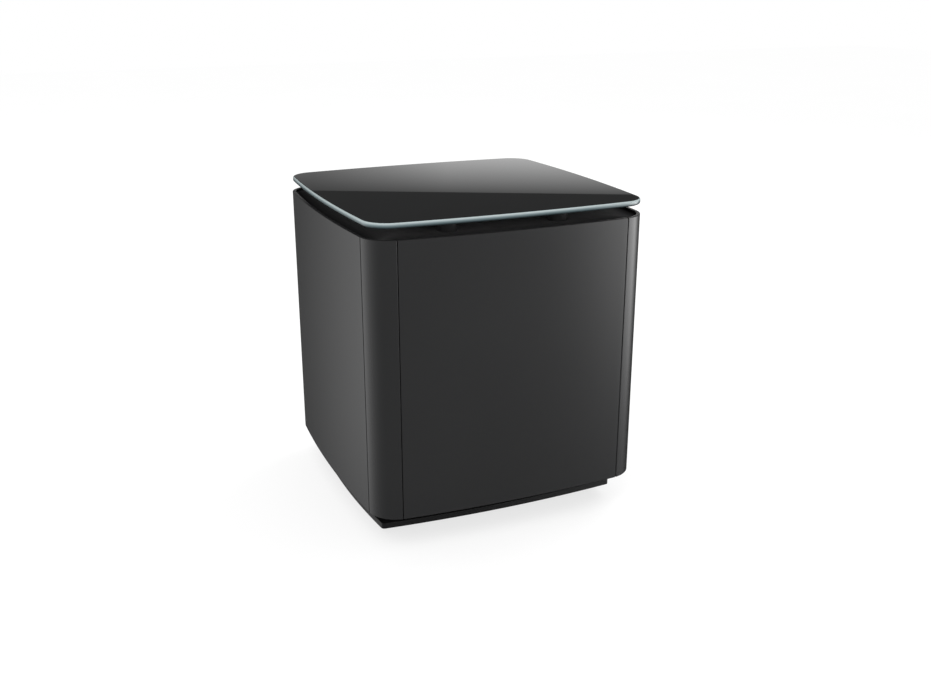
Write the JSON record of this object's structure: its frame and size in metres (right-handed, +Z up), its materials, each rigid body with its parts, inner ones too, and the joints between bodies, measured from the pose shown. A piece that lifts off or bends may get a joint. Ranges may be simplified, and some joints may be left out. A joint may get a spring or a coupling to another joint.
{
  "type": "subwoofer",
  "caption": "Free-standing powered subwoofer: a square cabinet with bowed matte sides, a floating black glass top over a dark gap, and a recessed base with a down-firing woofer.",
  "frame": {"origin": "on the floor under the middle of the cabinet", "axes": "+Z up, front faces -Y, connectors on the +Y side, +X to the right seen from the front"},
  "size_m": [0.2992, 0.2992, 0.327],
  "materials": {
    "panel": "fine satin texture, charcoal black",
    "trim": "fine satin texture, charcoal black",
    "glass": "tempered glass, black behind, polished pale blue-green edge",
    "adhesive": "black foam bonding tape",
    "gloss_black": "gloss black",
    "standoff": "moulded black",
    "fibreboard": "fibreboard, painted black on the outside",
    "foam": "open-cell damping foam",
    "base": "satin black powder coat on steel",
    "rubber": "matt black rubber",
    "screw_steel": "black oxide steel",
    "basket": "powder coated steel",
    "plated_steel": "zinc plated steel",
    "ferrite": "ferrite",
    "cone": "pressed black paper",
    "former": "thin foil",
    "copper": "enamelled copper wire",
    "spider_cloth": "resin treated cloth",
    "black_plastic": "moulded black",
    "button": "satin moulded black",
    "light": "clear diffuser",
    "socket_metal": "plated steel",
    "circuit": "solder mask",
    "aluminium": "mill finish",
    "capacitor": "sleeved can",
    "transformer": "ferrite core and taped winding",
    "cable": "flexible insulation"
  },
  "bodies": {
    "cabinet": {"amp_board": "circuit", "amp_chassis": "aluminium", "base_plate": "base", "base_posts": "standoff", "base_screws": "screw_steel", "board_spacers": "aluminium", "cabinet_brace": "fibreboard", "cabinet_lid": "fibreboard", "cabinet_walls": "fibreboard", "capacitors": "capacitor", "carrier_screws": "screw_steel", "connect_switch": "black_plastic", "connector_panel": "black_plastic", "corner_front_left": "trim", "corner_front_right": "trim", "corner_rear_left": "trim", "corner_rear_right": "trim", "damping_foam": "foam", "data_jack": "black_plastic", "foot_screws": "screw_steel", "front_panel": "panel", "glass_carrier": "gloss_black", "glass_standoffs": "standoff", "glass_tape": "adhesive", "glass_top": "glass", "heatsink": "aluminium", "inlet_pins": "plated_steel", "internal_cables": "cable", "io_board": "circuit", "left_panel": "panel", "mains_inlet": "black_plastic", "panel_screws": "screw_steel", "port_bell": "black_plastic", "port_tube": "black_plastic", "power_board": "circuit", "rear_panel": "panel", "right_panel": "panel", "rubber_feet": "rubber", "service_socket": "socket_metal", "speaker_cable": "cable", "status_light_pipe": "light", "top_deck": "gloss_black", "transformer": "transformer", "wireless_board": "circuit", "woofer_baffle": "fibreboard", "woofer_basket": "basket", "woofer_gasket": "rubber", "woofer_leads": "cable", "woofer_magnet": "ferrite", "woofer_screws": "screw_steel", "woofer_spider": "spider_cloth", "woofer_surround": "rubber", "woofer_terminal": "black_plastic", "woofer_top_plate": "plated_steel", "woofer_yoke": "plated_steel"},
    "cone_assembly": {"woofer_cone": "cone", "woofer_dust_cap": "cone", "voice_coil_former": "former", "voice_coil_winding": "copper"},
    "connect_button": {"connect_button": "button"}
  },
  "joints": [
    {"name": "cone_travel", "type": "slide", "parent": "cabinet", "child": "cone_assembly", "axis": [0, 0, 1], "range_m": [-0.008, 0.008], "stiffness_N_per_m": 3000, "deforming": ["woofer_surround", "woofer_spider", "woofer_leads"]},
    {"name": "connect_press", "type": "slide", "parent": "cabinet", "child": "connect_button", "axis": [0, -1, 0], "range_m": [0, 0.0005], "stiffness_N_per_m": 3000}
  ]
}
